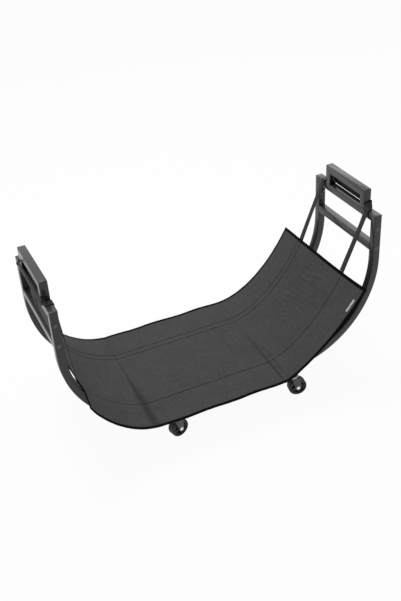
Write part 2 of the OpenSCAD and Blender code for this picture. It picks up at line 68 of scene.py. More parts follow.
# along the flat the webbing lies and spreads as the picture's stitch lines show
WEB_FLAT_Y, WEB_FLAT_SHIFT, WEB_SPREAD, SEAM_INSET = 103.7, 0.5, 1.0, 0.8
GAP, SEW_GAP, BIND_UNDER, BIND_OVER = 0.3, 0.25, 0.2, 0.4
HALF_T = CLOTH_T / 2
WEB_TOP = HALF_T + BIND_UNDER + SEW_GAP
FLAT_Z = BAR_TOP + GAP + WEB_T + WEB_TOP
LEFT_R = INNER_R - GAP - HALF_T - BIND_UNDER
LEFT_A0 = math.acos(min((BEND_Z - FLAT_Z) / LEFT_R, 1))
LEFT_REACH = 220.0
LEFT_A1 = math.asin(LEFT_REACH / INNER_R)
LEFT_X0 = -BEND_C - LEFT_R * math.sin(LEFT_A0)
RIGHT_X0 = HALF_L - 306
END_X, END_Z = HALF_L - 79, RAIL_TOP - 167
CLOTH_HALF = CLOTH_W / 2
STRAND_X = HALF_L + GAP + WEB_T
PASS_Y = HANDLE_L / 2 + 2
STRAP_STEP, STRAP_SOFT = 1.5, 1.6
TAG_Y, TAG_FROM, TAG_TO, TAG_HALF, TAG_HALF_T = -190.0, 0.765, 0.875, 3.4, 0.3

# edges stay sharp from these angles on, in degrees; steps round a rail's bend
TUBE_SHARP, TAPE_SHARP, BEND_STEPS = 34, 50, 40


# ---------- settings shown in the sidebar ----------

def colour(name, text, value):
    return bpy.props.FloatVectorProperty(
        name=name, description=text, default=value, size=3, subtype="COLOR", min=0, max=1)


def length(name, text, value):
    return bpy.props.FloatProperty(
        name=name, description=text, default=value, min=0, unit="LENGTH", precision=5)


class CartColours(bpy.types.PropertyGroup):
    """Colours of the finishes."""
    paint: colour("Frame paint", "Satin powder coat of the tubes", (0.010, 0.010, 0.0102))
    canvas: colour("Canvas", "Cloth of the carrier", (0.066, 0.066, 0.065))
    binding: colour("Binding", "Tape round the edge of the cloth", (0.0035, 0.0035, 0.0035))
    webbing: colour("Webbing", "Straps of the carrier", (0.016, 0.016, 0.016))
    thread: colour("Thread", "Sewing thread", (0.016, 0.016, 0.016))
    rubber: colour("Tyres", "Rubber of the caster tyres", (0.010, 0.010, 0.010))
    plastic: colour("Black plastic", "Plugs, wheels and nuts", (0.011, 0.011, 0.011))
    fork: colour("Forks", "Dark plating of the caster forks", (0.075, 0.075, 0.076))
    tag: colour("Tag", "Blank woven tag", (0.48, 0.48, 0.47))


class CartSizes(bpy.types.PropertyGroup):
    """Sizes of the visual detail."""
    tube_edge: length("Tube edge", "Radius on the long edges of the square tubes", 0.0018)
    cap_edge: length("Cap edge", "Radius on the rail ends", 0.0010)
    bar_edge: length("Bar edge", "Radius on the long edges of the base bars", 0.0006)
    small_edge: length("Small edge", "Radius on the casters", 0.0004)
    weave: length("Weave", "Distance between two threads of the canvas", 0.0011)
    rib: length("Rib", "Distance between two ribs of the webbing", 0.0016)
    stitch: length("Stitch", "Length of a stitch", 0.0026)
    stitch_step: length("Stitch step", "Distance between two stitches", 0.0036)
    wrinkle: length("Wrinkle", "Depth of the small wrinkles in the cloth", 0.0006)
    crease: length("Crease", "Depth of the fold lines across the cloth", 0.0016)
    floor: length("Floor", "Radius of the floor", 6.0)


def settings():
    scene = bpy.context.scene
    return scene.cart_colours, scene.cart_sizes


# ---------- finishes ----------

class Value:
    """A shader socket; arithmetic on it adds Math nodes."""

    def __init__(self, finish, socket):
        self.finish, self.socket = finish, socket

    def math(self, operation, *values):
        return self.finish.node("ShaderNodeMath", {"operation": operation},
                                dict(enumerate(values)))

    def __add__(self, other):
        return self.math("ADD", self, other)

    def __sub__(self, other):
        return self.math("SUBTRACT", self, other)

    def __rsub__(self, other):
        return self.math("SUBTRACT", other, self)

    def __mul__(self, other):
        return self.math("MULTIPLY", self, other)

    __radd__ = __add__
    __rmul__ = __mul__

    def sin(self):
        return self.math("SINE", self)

    def abs(self):
        return self.math("ABSOLUTE", self)

    def largest(self, other):
        return self.math("MAXIMUM", self, other)

    def above(self, edge, soft):
        """0 below edge, 1 above it, with a soft step."""
        return self.finish.node("ShaderNodeMapRange", {"interpolation_type": "SMOOTHSTEP"},
                                {0: self, 1: edge - soft, 2: edge + soft, 3: 0.0, 4: 1.0})


class Finish:
    """A material round one Principled shader, whose plain sockets are set at once."""

    def __init__(self, name, **plain):
        self.material = bpy.data.materials.new(name)
        self.material.use_nodes = True
        self.tree = self.material.node_tree
        self.shader = self.tree.nodes["Principled BSDF"]
        for key, value in plain.items():
            self.shader.inputs[key.replace("_", " ")].default_value = value

    def node(self, kind, settings=None, sockets=None, out=0):
        made = self.tree.nodes.new(kind)
        for key, value in (settings or {}).items():
            setattr(made, key, value)
        for key, value in (sockets or {}).items():
            if isinstance(value, Value):
                self.tree.links.new(value.socket, made.inputs[key])
            else:
                made.inputs[key].default_value = value
        return Value(self, made.outputs[out])

    def place(self, kind="Object"):
        return self.node("ShaderNodeTexCoord", out=kind)

    def axes(self, vector):
        made = self.node("ShaderNodeSeparateXYZ", sockets={0: vector})
        return [Value(self, socket) for socket in made.socket.node.outputs]

    def stretched(self, vector, scale):
        return self.node("ShaderNodeVectorMath", {"operation": "MULTIPLY"},
                         {0: vector, 1: scale})

    def cloudy(self, vector, scale, detail=2.0, rough=0.5):
        return self.node("ShaderNodeTexNoise", sockets={
            "Vector": vector, "Scale": scale, "Detail": detail, "Roughness": rough})

    def blend(self, factor, low, high):
        """Colour from low to high by factor."""
        return self.node("ShaderNodeMix", {"data_type": "RGBA", "clamp_factor": False},
                         {0: factor, 6: (*low, 1), 7: (*high, 1)}, out=2)

    def shade(self, base, factor, spread):
        """Base colour made darker and lighter by factor."""
        low = [c * (1 - spread) for c in base]
        high = [min(1, c * (1 + spread)) for c in base]
        self.feed("Base Color", self.blend(factor, low, high))

    def feed(self, key, value):
        self.tree.links.new(value.socket, self.shader.inputs[key])

    def bump(self, height, distance, strength=1.0):
        self.feed("Normal", self.node("ShaderNodeBump", None, {
            "Strength": strength, "Distance": distance, "Height": height}))


def satin_paint(name):
    tone = settings()[0].paint
    f = Finish(name, Roughness=0.50, Specular_IOR_Level=0.25,
               Coat_Weight=0.56, Coat_Roughness=0.10)
    at = f.place()
    grain = f.cloudy(at, 900, 3, 0.6)
    cloud = f.cloudy(at, 14, 3, 0.6)
    f.shade(tone, cloud, 0.10)
    f.feed("Roughness", 0.46 + 0.10 * cloud + 0.04 * grain)
    f.bump(grain, 0.00002, 0.3)
    return f.material


def woven_canvas(name):
    """Plain weave, dull; the map "seams" holds the place across each webbing, and the cloth is
    drawn in along the rows of stitches at -1 and 1, where its colour is darkened as painted shade
    in the seam grooves. The map "folds" holds the distances from the two fold lines, in
    centimetres at the front and stretched towards the back, where the lines grow thin; along them
    the colour is darkened as painted shade in the creases."""
    colours, sizes = settings()
    f = Finish(name, Roughness=0.95, Specular_IOR_Level=0.10)
    along, across, _ = f.axes(f.place("UV"))
    step = math.pi / sizes.weave
    warp, weft = (along * step).sin(), (across * step).sin()
    over = (warp * weft).above(0.0, 0.25)
    thread = over * warp.abs() + (1 - over) * weft.abs()
    at = f.place()
    slub = f.cloudy(f.stretched(at, (60, 900, 200)), 1.0, 2)
    cloud = f.cloudy(at, 24, 4, 0.65)
    blotch = f.cloudy(at, 150, 3, 0.6)
    front, back, _ = f.axes(f.node("ShaderNodeUVMap", {"uv_map": "seams"}))
    # painted shade: the cloth's colour is darkened along the rows of stitches, standing in for the
    # shade in the seam grooves, less on the front webbing's inner row
    rows = [1 - (v.abs() - 1).abs().above(0.11, 0.05) for v in (front, back)]
    seam = (rows[0] * (1 - 0.85 * front.above(0, 0.1))).largest(rows[1])
    left, right, _ = f.axes(f.node("ShaderNodeUVMap", {"uv_map": "folds"}))
    # painted shade in the creases: the cloth's colour is darkened along the left fold line and
    # along two lines beside the right one, patchy with the blotch noise
    painted_fold_shade = 1.9 * (1 - left.abs().above(0.9, 0.8)) + sum(
        weight * (1 - (right - place).abs().above(0.3, 0.25))
        for place, weight in ((0.3, 1.8), (1.7, 0.8)))
    plain = 1.2 * cloud + 2.6 * blotch + 0.8 * slub - 1.8
    f.shade(colours.canvas, plain - 3.3 * seam - 0.8 * painted_fold_shade * (0.4 + blotch), 0.14)
    f.feed("Roughness", 0.88 + 0.10 * thread)
    f.bump(0.5 * thread + 0.6 * blotch, 0.00022, 0.7)
    return f.material


def ribbed_tape(colour_key, share, gloss):
    """A woven tape whose ribs are set apart by a share of the webbing's."""
    def finish(name):
        colours, sizes = settings()
        f = Finish(name, Roughness=0.80, Specular_IOR_Level=gloss)
        along, across, _ = f.axes(f.place("UV"))
        turn = 2 * math.pi / (sizes.rib * share)
        rib = (along * turn).sin() * 0.5 + 0.5
        twill = ((across * 3 + along) * turn).sin() * 0.5 + 0.5
        cloud = f.cloudy(f.place(), 60, 3)
        f.shade(getattr(colours, colour_key), 0.45 * rib + 0.55 * cloud, 0.30)
        f.feed("Roughness", 0.82 - 0.14 * rib)
        f.bump(0.7 * rib + 0.3 * twill, 0.00018, 0.7)
        return f.material
    return finish


def thread(name):
    f = Finish(name, Roughness=0.6, Specular_IOR_Level=0.35)
    twist = f.cloudy(f.place(), 1800, 2)
    f.shade(settings()[0].thread, twist, 0.25)
    f.bump(twist, 0.00005)
    return f.material


def tyre_rubber(name):
    f = Finish(name, Roughness=0.58, Specular_IOR_Level=0.38)
    at = f.place()
    dust = f.cloudy(at, 110, 4, 0.65)
    f.shade(settings()[0].rubber, dust, 0.4)
    f.feed("Roughness", 0.50 + 0.16 * dust)
    f.bump(f.cloudy(at, 2400, 2), 0.00003)
    return f.material


def moulded_plastic(name):
    f = Finish(name, Roughness=0.45, Specular_IOR_Level=0.45)
    at = f.place()
    spark = f.cloudy(at, 1700, 2, 0.55)
    f.shade(settings()[0].plastic, f.cloudy(at, 70, 2), 0.2)
    f.feed("Roughness", 0.40 + 0.12 * spark)
    f.bump(spark, 0.00003, 0.8)
    return f.material


def black_bolt(name):
    """Blackened bolt heads, smooth enough to catch the light."""
    f = Finish(name, Metallic=0.7, Roughness=0.25)
    at = f.place()
    spot = f.cloudy(at, 600, 2)
    f.shade((0.11, 0.11, 0.11), spot, 0.3)
    f.feed("Roughness", 0.20 + 0.12 * spot)
    f.bump(spot, 0.00002, 0.4)
    return f.material


def dark_plate(name):
    """Dark plating of the caster forks and stems."""
    f = Finish(name, Metallic=0.35, Roughness=0.38, Specular_IOR_Level=0.5)
    at = f.place()
    cloud = f.cloudy(at, 90, 3, 0.6)
    f.shade(settings()[0].fork, cloud, 0.3)
    f.feed("Roughness", 0.30 + 0.16 * cloud)
    f.bump(f.cloudy(at, 1300, 2), 0.00003)
    return f.material


def steel(tone, rough, drawn):
    """Bare steel with a grain drawn out along the axes."""
    def finish(name):
        f = Finish(name, Metallic=1.0, Roughness=rough)
        streak = f.cloudy(f.stretched(f.place(), drawn), 1.0, 3, 0.6)
        f.shade((tone,) * 3, streak, 0.14)
        f.feed("Roughness", rough - 0.05 + 0.12 * streak)
        f.bump(streak, 0.00002, 0.6)
        return f.material
    return finish


FINISHES = {
    "frame_paint": satin_paint, "black_plastic": moulded_plastic, "black_bolt": black_bolt,
    "zinc_steel": steel(0.40, 0.36, (240, 240, 240)),
    "bright_steel": steel(0.72, 0.22, (500, 500, 1500)),
    "black_steel": dark_plate, "wheel_plastic": moulded_plastic, "tyre_rubber": tyre_rubber,
    "carrier_canvas": woven_canvas, "sewing_thread": thread,
    "binding_tape": ribbed_tape("binding", 0.75, 0.02),
    "tag_tape": ribbed_tape("tag", 0.4, 0.4), "webbing": ribbed_tape("webbing", 1.0, 0.35),
}


def dress(piece, finish):
    """Gives the piece its finish, made once, under a name that the record doesn't use."""
    name = f"{finish}_look"
    piece.data.materials.clear()
    piece.data.materials.append(bpy.data.materials.get(name) or FINISHES[finish](name))


# ---------- making pieces ----------

def put(bm, name, finish, body, slot, replaces=(), smooth_angle=None):
    """Turns a bmesh into a piece that rides on a body."""
    mesh = bpy.data.meshes.new(name)
    bm.to_mesh(mesh)
    bm.free()
    piece = bpy.data.objects.new(name, mesh)
    bpy.context.scene.collection.objects.link(piece)
    dress(piece, finish)
    if smooth_angle is None:
        mesh.shade_smooth()
    else:
        mesh.set_sharp_from_angle(angle=math.radians(smooth_angle))
    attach(piece, body)
    if replaces:
        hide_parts(*replaces)
    return piece


def copy_of(node):
    """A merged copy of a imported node's mesh, with flat faces made whole."""
    bm = bmesh.new()
    bm.from_mesh(nodes[node].data)
    bmesh.ops.remove_doubles(bm, verts=bm.verts, dist=1e-6)
    bmesh.ops.dissolve_limit(bm, angle_limit=math.radians(0.5), verts=bm.verts,
                             edges=bm.edges)
    return bm


def round_edges(bm, width, segments, wanted, angle=30):
    """Rounds the convex edges for which wanted(end, end) holds, points in millimetres."""
    edges = [e for e in bm.edges
             if len(e.link_faces) == 2 and e.is_convex
             and e.calc_face_angle(0) > math.radians(angle)
             and wanted(e.verts[0].co / MM, e.verts[1].co / MM)]
    bmesh.ops.bevel(bm, geom=edges, offset=width, offset_type="OFFSET", segments=segments,
                    profile=0.5, affect="EDGES", material=-1, clamp_overlap=True)


def rounded_node(node, name, finish, body, slot, width, segments, wanted, angle=30):
    bm = copy_of(node)
    round_edges(bm, width, segments, wanted, angle)
    return put(bm, name, finish, body, slot, [node], TUBE_SHARP)


def near(value, *targets):
    return any(abs(value - t) < 0.06 for t in targets)


def swept(rows, cols, place, closed=True, capped=True):
    """A grid rolled into a tube: place(along, around) gives a point in millimetres, along and
    around from 0 to 1. Its UV map holds the same two numbers."""
    bm = bmesh.new()
    bm.loops.layers.uv.new("UVMap")
    bmesh.ops.create_grid(bm, x_segments=rows, y_segments=cols, size=0.5, calc_uvs=True)
    for vert in bm.verts:
        along, around = vert.co.x + 0.5, vert.co.y + 0.5
        if closed and around > 1 - 0.4 / cols:
            around = 0.0
        vert.co = Vector(place(along, around)) * MM
    if closed:
        bmesh.ops.remove_doubles(bm, verts=bm.verts, dist=1e-7)
        if capped:
            bmesh.ops.holes_fill(bm, edges=[e for e in bm.edges if e.is_boundary], sides=0)
    return bm


def on_outline(outline, around):
    """The point of an outline at around, which goes from 0 to 1."""
    return outline[int(round(around * len(outline))) % len(outline)]


def scale_uv(bm, along, across):
    layer = bm.loops.layers.uv["UVMap"]
    for face in bm.faces:
        for loop in face.loops:
            loop[layer].uv.x *= along
            loop[layer].uv.y *= across


def in_order(bm):
    """Sorts points, edges and faces by place, since extruding leaves them in an order that
    changes from run to run."""
    for parts, place in ((bm.verts, lambda v: v.co[:]),
                         (bm.edges, lambda e: (e.verts[0].co + e.verts[1].co)[:]),
                         (bm.faces, lambda f: f.calc_center_median()[:])):
        rank = {part: k for k, part in enumerate(sorted(parts, key=place))}
        parts.sort(key=rank.get)
    return bm


def outward(bm):
    bmesh.ops.recalc_face_normals(bm, faces=bm.faces)
    return bm


class Maker(bpy.types.Operator):
    """Shared settings of the operators that build one group of pieces."""
    bl_options = {"REGISTER", "UNDO"}


# ---------- frame ----------

def tube_face(side, edge):
    """A bmesh holding one square face with rounded corners, lying flat at the origin."""
    bm = bmesh.new()
    bmesh.ops.create_grid(bm, x_segments=1, y_segments=1, size=side / 2 * MM)
    bmesh.ops.bevel(bm, geom=bm.verts, offset=edge, offset_type="OFFSET", segments=4,
                    profile=0.5, affect="VERTICES", material=-1, clamp_overlap=True)
    return bm


def drawn_out(bm, face, way):
    """Extrudes a face along way and returns the new end face."""
    made = bmesh.ops.extrude_face_region(bm, geom=[face])["geom"]
    bmesh.ops.translate(bm, verts=[g for g in made if isinstance(g, bmesh.types.BMVert)],
                        vec=way)
    bmesh.ops.delete(bm, geom=[face], context="FACES_ONLY")
    return next(g for g in made if isinstance(g, bmesh.types.BMFace))


def bent(bm, face, centre, turn, steps):
    """Spins a face round an axis along Y and returns the new end face."""
    verts, edges = list(face.verts), list(face.edges)
    made = bmesh.ops.spin(bm, geom=verts + edges + [face], cent=centre, axis=(0, 1, 0),
                          angle=turn, steps=steps, use_duplicate=False)["geom_last"]
    return next(g for g in made if isinstance(g, bmesh.types.BMFace))


class CART_OT_rails(Maker):
    """Two bent square-tube rails"""
    bl_idname = "log_cart.rails"
    bl_label = "Rails"

    def execute(self, context):
        top = RAIL_TOP - CAP_T
        rise = (top - BEND_Z) * MM
        for side, sign in (("front", -1), ("back", 1)):
            bm = tube_face(TUBE, settings()[1].tube_edge)
            corner = Vector((-POST_X, sign * (HALF_W - TUBE / 2), top)) * MM
            bmesh.ops.translate(bm, verts=bm.verts, vec=corner)
            start = bm.faces[:][0]
            end = drawn_out(bm, start, (0, 0, -rise))
            end = bent(bm, end, Vector((-BEND_C, 0, BEND_Z)) * MM, -math.pi / 2, BEND_STEPS)
            end = drawn_out(bm, end, (2 * BEND_C * MM, 0, 0))
            end = bent(bm, end, Vector((BEND_C, 0, BEND_Z)) * MM, -math.pi / 2, BEND_STEPS)
            drawn_out(bm, end, (0, 0, rise))
            bmesh.ops.holes_fill(bm, edges=[e for e in bm.edges if e.is_boundary], sides=0)
            put(in_order(outward(bm)), f"{side}_rail_tube", "frame_paint", "frame",
                "frame_paint", [f"{side}_rail"], TUBE_SHARP)
        return {"FINISHED"}


class CART_OT_cross_tubes(Maker):
    """Four cross tubes between the rails"""
    bl_idname = "log_cart.cross_tubes"
    bl_label = "Cross tubes"

    def execute(self, context):
        def wanted(a, b):
            return (near(a.x, b.x) and near(a.z, b.z) and near(abs(a.x), HALF_L, HALF_L - TUBE)
                    and abs(a.y - b.y) > 1)
        half = TUBE / 2
        for level, z in (("upper", RAIL_TOP - half), ("lower", RAIL_TOP - LOWER_DROP)):
            for end in ("left", "right"):
                rounded_node(f"{end}_{level}_crossbar", f"{end}_{level}_cross_tube",
                             "frame_paint", "frame", "frame_paint",
                             settings()[1].tube_edge, 3,
                             lambda a, b, z=z: wanted(a, b) and near(a.z, z - half, z + half))
        return {"FINISHED"}


class CART_OT_handle_frames(Maker):
    """Two welded handle frames on the upper cross tubes"""
    bl_idname = "log_cart.handle_frames"
    bl_label = "Handle frames"

    def execute(self, context):
        half, top = HANDLE_L / 2, RAIL_TOP + HANDLE_RISE

        def wanted(a, b):
            for p in (a, b):
                outer = near(abs(p.y), half) or near(p.z, top)
                inner = near(abs(p.y), half - TUBE) or near(p.z, top - TUBE)
                if not near(abs(p.x), HALF_L, HALF_L - TUBE) or not (outer or inner):
                    return False
            return not (near(a.z, RAIL_TOP) and near(b.z, RAIL_TOP))
        for end in ("left", "right"):
            rounded_node(f"{end}_handle_frame", f"{end}_handle_tube", "frame_paint", "frame",
                         "frame_paint", settings()[1].tube_edge * 0.85, 3, wanted)
        return {"FINISHED"}


class CART_OT_fasteners(Maker):
    """Rail end caps, bolts, nuts, plugs and screws"""
    bl_idname = "log_cart.fasteners"
    bl_label = "Fasteners"

    def execute(self, context):
        sizes = settings()[1]

        def cap_edge(a, b):
            under = RAIL_TOP - CAP_T
            return min(a.z, b.z) > under - 0.5 and not (near(a.z, under) and near(b.z, under))
        rounded_node("corner_connectors", "rail_end_caps", "frame_paint", "frame",
                     "black_plastic", sizes.cap_edge, 3, cap_edge)
        for node, finish in (("rail_bolts", "black_bolt"), ("crossbar_bolts", "black_bolt"),
                             ("rail_nuts", "black_plastic"), ("hole_plugs", "black_plastic"),
                             ("base_bar_screws", "zinc_steel"),
                             ("crossbar_inserts", "zinc_steel")):
            dress(nodes[node], finish)
        return {"FINISHED"}


class CART_OT_base_bars(Maker):
    """Two flat base bars with the welded caster bosses"""
    bl_idname = "log_cart.base_bars"
    bl_label = "Base bars"

    def execute(self, context):
        def wanted(a, b):
            flat = any(near(a.z, z) and near(b.z, z) for z in (BAR_TOP, BAR_TOP - BAR_T))

            def outline(p):
                r = math.hypot(abs(p.x) - CASTER_X, abs(p.y) - CASTER_Y)
                return near(abs(abs(p.x) - CASTER_X), BAR_HALF) or near(r, BAR_HALF)
            return flat and outline(a) and outline(b)
        for end in ("left", "right"):
            rounded_node(f"{end}_base_bar", f"{end}_flat_bar", "frame_paint", "frame",
                         "frame_paint", settings()[1].bar_edge, 2, wanted)
        dress(nodes["caster_bosses"], "frame_paint")
        return {"FINISHED"}


# ---------- casters ----------

class CART_OT_casters(Maker):
    """Four swivel casters"""
    bl_idname = "log_cart.casters"
    bl_label = "Casters"

    def execute(self, context):
        edge = settings()[1].small_edge
        parts = {
            "stem": ("black_steel", "black_steel", edge),
            "raceway": ("zinc_steel", "bright_steel", 0),
            "fork": ("black_steel", "black_steel", edge * 1.6),
            "axle": ("bright_steel", "bright_steel", 0),
            "wheel": ("wheel_plastic", "wheel_plastic", edge),
            "tyre": ("tyre_rubber", "tyre_rubber", 0),
        }
        body_names = {"stem": "frame", "raceway": "swivel", "fork": "swivel", "axle": "swivel",
                      "wheel": "wheel", "tyre": "wheel"}
        for side, end in CORNERS:
            for part, (finish, slot, width) in parts.items():
                node = f"{side}_{end}_caster_{part}"
                if not width:
                    dress(nodes[node], finish)
                    continue
                body = body_names[part]
                if body != "frame":
                    body = f"{side}_{end}_{body}"
                rounded_node(node, f"{side}_{end}_{part}_shape", finish, body, slot,
                             width, 2, lambda a, b: True, 50)
        return {"FINISHED"}


# ---------- the cloth's own surface ----------

def mix(a, b, t):
    return a + (b - a) * t


def bezier(a, b, c, d, t):
    return (1 - t)**3 * a + 3 * (1 - t)**2 * t * b + 3 * (1 - t) * t * t * c + t**3 * d


def left_sag(y):
    inner, outer = HALF_W - TUBE - 1, HALF_W + 1
    y = abs(y)
    if y < inner:
        return 4 * (1 - (y / inner)**2)
    return 7 * ((y - outer) / (CLOTH_HALF - outer))**1.3 if y > outer else 0.0


def run_point(y, p):
    """Point (x, z) of the cloth's middle at y; p runs 0 to 1 down the left panel, 1 to 2
    along the flat and 2 to 3 up the right panel."""
    if p < 1:
        t = 1 - p
        a = mix(LEFT_A0, LEFT_A1, t)
        r = LEFT_R + left_sag(y) * math.sin(math.pi * min(t * 1.3, 0.5))
        return -BEND_C - r * math.sin(a), BEND_Z - r * math.cos(a)
    if p < 2:
        return mix(LEFT_X0, RIGHT_X0, p - 1), FLAT_Z
    t, n = p - 2, y / CLOTH_HALF
    k, lift = 0.5 - 0.2 * n - 0.3 * n**3, 12 * (1 - abs(n)**3) * t * t
    end_x, end_z = mix(END_X + 4, END_X - 2, k), mix(END_Z - 10, END_Z + 11, k)
    return (bezier(RIGHT_X0, RIGHT_X0 + mix(100, 75, k), end_x - mix(42, 60, k), end_x, t)
            - 0.83 * lift,
            bezier(FLAT_Z, FLAT_Z + mix(0, 36, k), end_z - mix(78, 88, k), end_z, t)
            + 0.55 * lift)


def web_place(sign, share):
    """Middle and half width of the webbing under the cloth, at a share of its length: it lies
    flat under the cloth and is drawn together where it leaves the ends."""
    flat = np.interp(share, (0, 0.12, 0.75, 1), (0, 1, 1, 0))
    return (mix(sign * WEB_Y + WEB_SHIFT, sign * WEB_FLAT_Y + WEB_FLAT_SHIFT, flat),
            mix(WEB_W / 2, WEB_W / 2 + WEB_SPREAD, flat))


def seam_place(sign, way, share):
    """Where a row of stitches runs, just inside the webbing's edge on the side of way."""
    middle, half = web_place(sign, share)
    return middle + way * (half - SEAM_INSET)


def hill(distance, width):
    return np.exp(-(distance / width)**2)


class ClothRun:
    """The cloth's middle surface, sampled on a fine net, with its normals."""
    ROWS, COLS = 438, 208

    def __init__(self):
        steps = np.linspace(0, 3, 1201)
        line = np.array([run_point(0.0, p) for p in steps])
        walked = np.concatenate([[0], np.cumsum(np.hypot(*np.diff(line, axis=0).T))])
        self.length = walked[-1]
        self.p = np.interp(np.linspace(0, self.length, self.ROWS + 1), walked, steps)
        self.y = np.linspace(-CLOTH_HALF, CLOTH_HALF, self.COLS + 1)
        net = np.array([[(x, y, z) for y in self.y for x, z in [run_point(y, p)]]
                        for p in self.p])
        self.turns = np.interp((1, 2), self.p, np.linspace(0, self.length, self.ROWS + 1))
        for _ in range(6):
            net[1:-1] = 0.25 * net[:-2] + 0.5 * net[1:-1] + 0.25 * net[2:]
        self.net = net + self.normals(net) * self.relief()[..., None]
        self.net[..., 2] = np.maximum(self.net[..., 2], BAR_TOP + 1.0)
        self.normal = self.normals(self.net)

    @staticmethod
    def normals(net):
        along, across = np.gradient(net, axis=0), np.gradient(net, axis=1)
        n = np.cross(along, across)
        return n / np.linalg.norm(n, axis=2, keepdims=True)

    def relief(self):
        """Height of wrinkles, seams and fold lines over the smooth run, in millimetres."""
        sizes = settings()[1]
        small, fold = sizes.wrinkle / MM, sizes.crease / MM
        rows = np.arange(self.ROWS + 1)[:, None] * self.length / self.ROWS
        y = self.y[None, :]
        wide, fine = (np.array([[noise.noise(Vector((s / a, v / b, c))) for v in self.y]
                                for s in rows[:, 0]])
                      for a, b, c in ((62, 48, 3.1), (19, 23, 7.7)))
        height = small * (1.1 * wide + 0.7 * fine)
        left, right = self.turns
        at_left, at_right = (rows - c for c in self.creases(y))
        free = fold * (1.15 + 0.45 * np.cos(y * math.pi / WEB_Y))
        free *= np.clip(0.7 - y / 230, 0.3, 1) * np.clip((CLOTH_HALF - np.abs(y)) / 30, 0.15, 1)
        for distance, width, weight in ((at_left, 7.0, -1.3), (at_left - 15, 9.0, 1.1),
                                        (at_right + 3, 3.5, 0.8), (at_right - 3, 2.6, -1.2)):
            height += weight * free * hill(distance, width)
        for sign, way, deep in ((-1, -1, 0.45), (-1, 1, 0.12), (1, 1, 0.45), (1, -1, 0.35)):
            seam = np.array([seam_place(sign, way, s / self.length) for s in rows[:, 0]])
            height -= deep * hill(y - seam[:, None], 1.6)
        # the free long edges wave a little along the flat
        flat = np.clip((rows - left) / 50, 0, 1) * np.clip((right - rows) / 50, 0, 1)
        for sign, deep, turn in ((1, 1.1, 0.6), (-1, 1.0, 2.1)):
            free_edge = hill(CLOTH_HALF - sign * y, 30.0)
            height += deep * flat * free_edge * np.sin((rows - left) / 21.0 + turn)
        # cross ripples in the right panel, and ripples along the front edge
        up = rows - right
        panel = np.clip(up / 60, 0, 1) * np.clip((self.length - rows) / 60, 0, 1)
        band = hill(y + 5, 70.0) * panel * np.clip((up - 60) / 50, 0, 1)
        height += (0.55 + 0.6 * fine) * band * np.sin((up + y * 0.12) / 2.4 + 5 * wide)
        front = hill(y + 165, 26.0) * hill(rows - left - 200, 90.0)
        height += 0.55 * front * np.sin((y + 0.10 * rows) / 3.4)
        return height

    def creases(self, y):
        """Places of the two fold lines along the cloth, at y."""
        left, right = self.turns
        return left - 10.5 + y / 37, right - 2.5 + y / 28

    def at(self, s, y, lift=0.0):
        """Point of the surface, s millimetres from the left end, lifted along its normal."""
        i = min(max(s / self.length, 0), 1) * self.ROWS
        j = min(max((y + CLOTH_HALF) / CLOTH_W, 0), 1) * self.COLS
        i0, j0 = min(int(i), self.ROWS - 1), min(int(j), self.COLS - 1)
        a, b = i - i0, j - j0
        w = ((1 - a) * (1 - b), a * (1 - b), (1 - a) * b, a * b)
        found = []
        for grid in (self.net, self.normal):
            found.append(w[0] * grid[i0, j0] + w[1] * grid[i0 + 1, j0]
                         + w[2] * grid[i0, j0 + 1] + w[3] * grid[i0 + 1, j0 + 1])
        return found[0] + lift * found[1]


_run = []


def cloth_run():
    if not _run:
        _run.append(ClothRun())
    return _run[0]


class CART_OT_cloth(Maker):
    """The carrier's cloth, given its thickness"""
    bl_idname = "log_cart.cloth"
    bl_label = "Cloth"

    ROWS, COLS, INSET = 340, 130, 0.6

    def execute(self, context):
        run = cloth_run()

        def place(along, across):
            return run.at(mix(self.INSET, run.length - self.INSET, along),
                          mix(self.INSET - CLOTH_HALF, CLOTH_HALF - self.INSET, across))
        bm = swept(self.ROWS, self.COLS, place, closed=False)
        plain, seams, folds = bm.loops.layers.uv.active, *(
            bm.loops.layers.uv.new(key) for key in ("seams", "folds"))
        for face in bm.faces:
            for loop in face.loops:
                y = mix(-CLOTH_HALF, CLOTH_HALF, loop[plain].uv.y)
                loop[seams].uv = [(y - middle) / (half - SEAM_INSET) for middle, half in (
                    web_place(sign, loop[plain].uv.x) for sign in (-1, 1))]
                thinner = 1 + (max(0, y + 90) / 60)**2
                loop[folds].uv = [(loop[plain].uv.x * run.length - c) / 10 * thinner
                                  for c in run.creases(y)]
        scale_uv(bm, run.length * MM, CLOTH_W * MM)
        outward(bm)
        if sum(f.normal.z for f in bm.faces) < 0:
            bmesh.ops.reverse_faces(bm, faces=bm.faces)
        piece = put(bm, "log_cloth", "carrier_canvas", "carrier", "carrier_canvas",
                    ["carrier_cloth"])
        wall = piece.modifiers.new("Cloth thickness", "SOLIDIFY")
        wall.thickness = CLOTH_T * MM
        wall.offset = 0.0
        return {"FINISHED"}


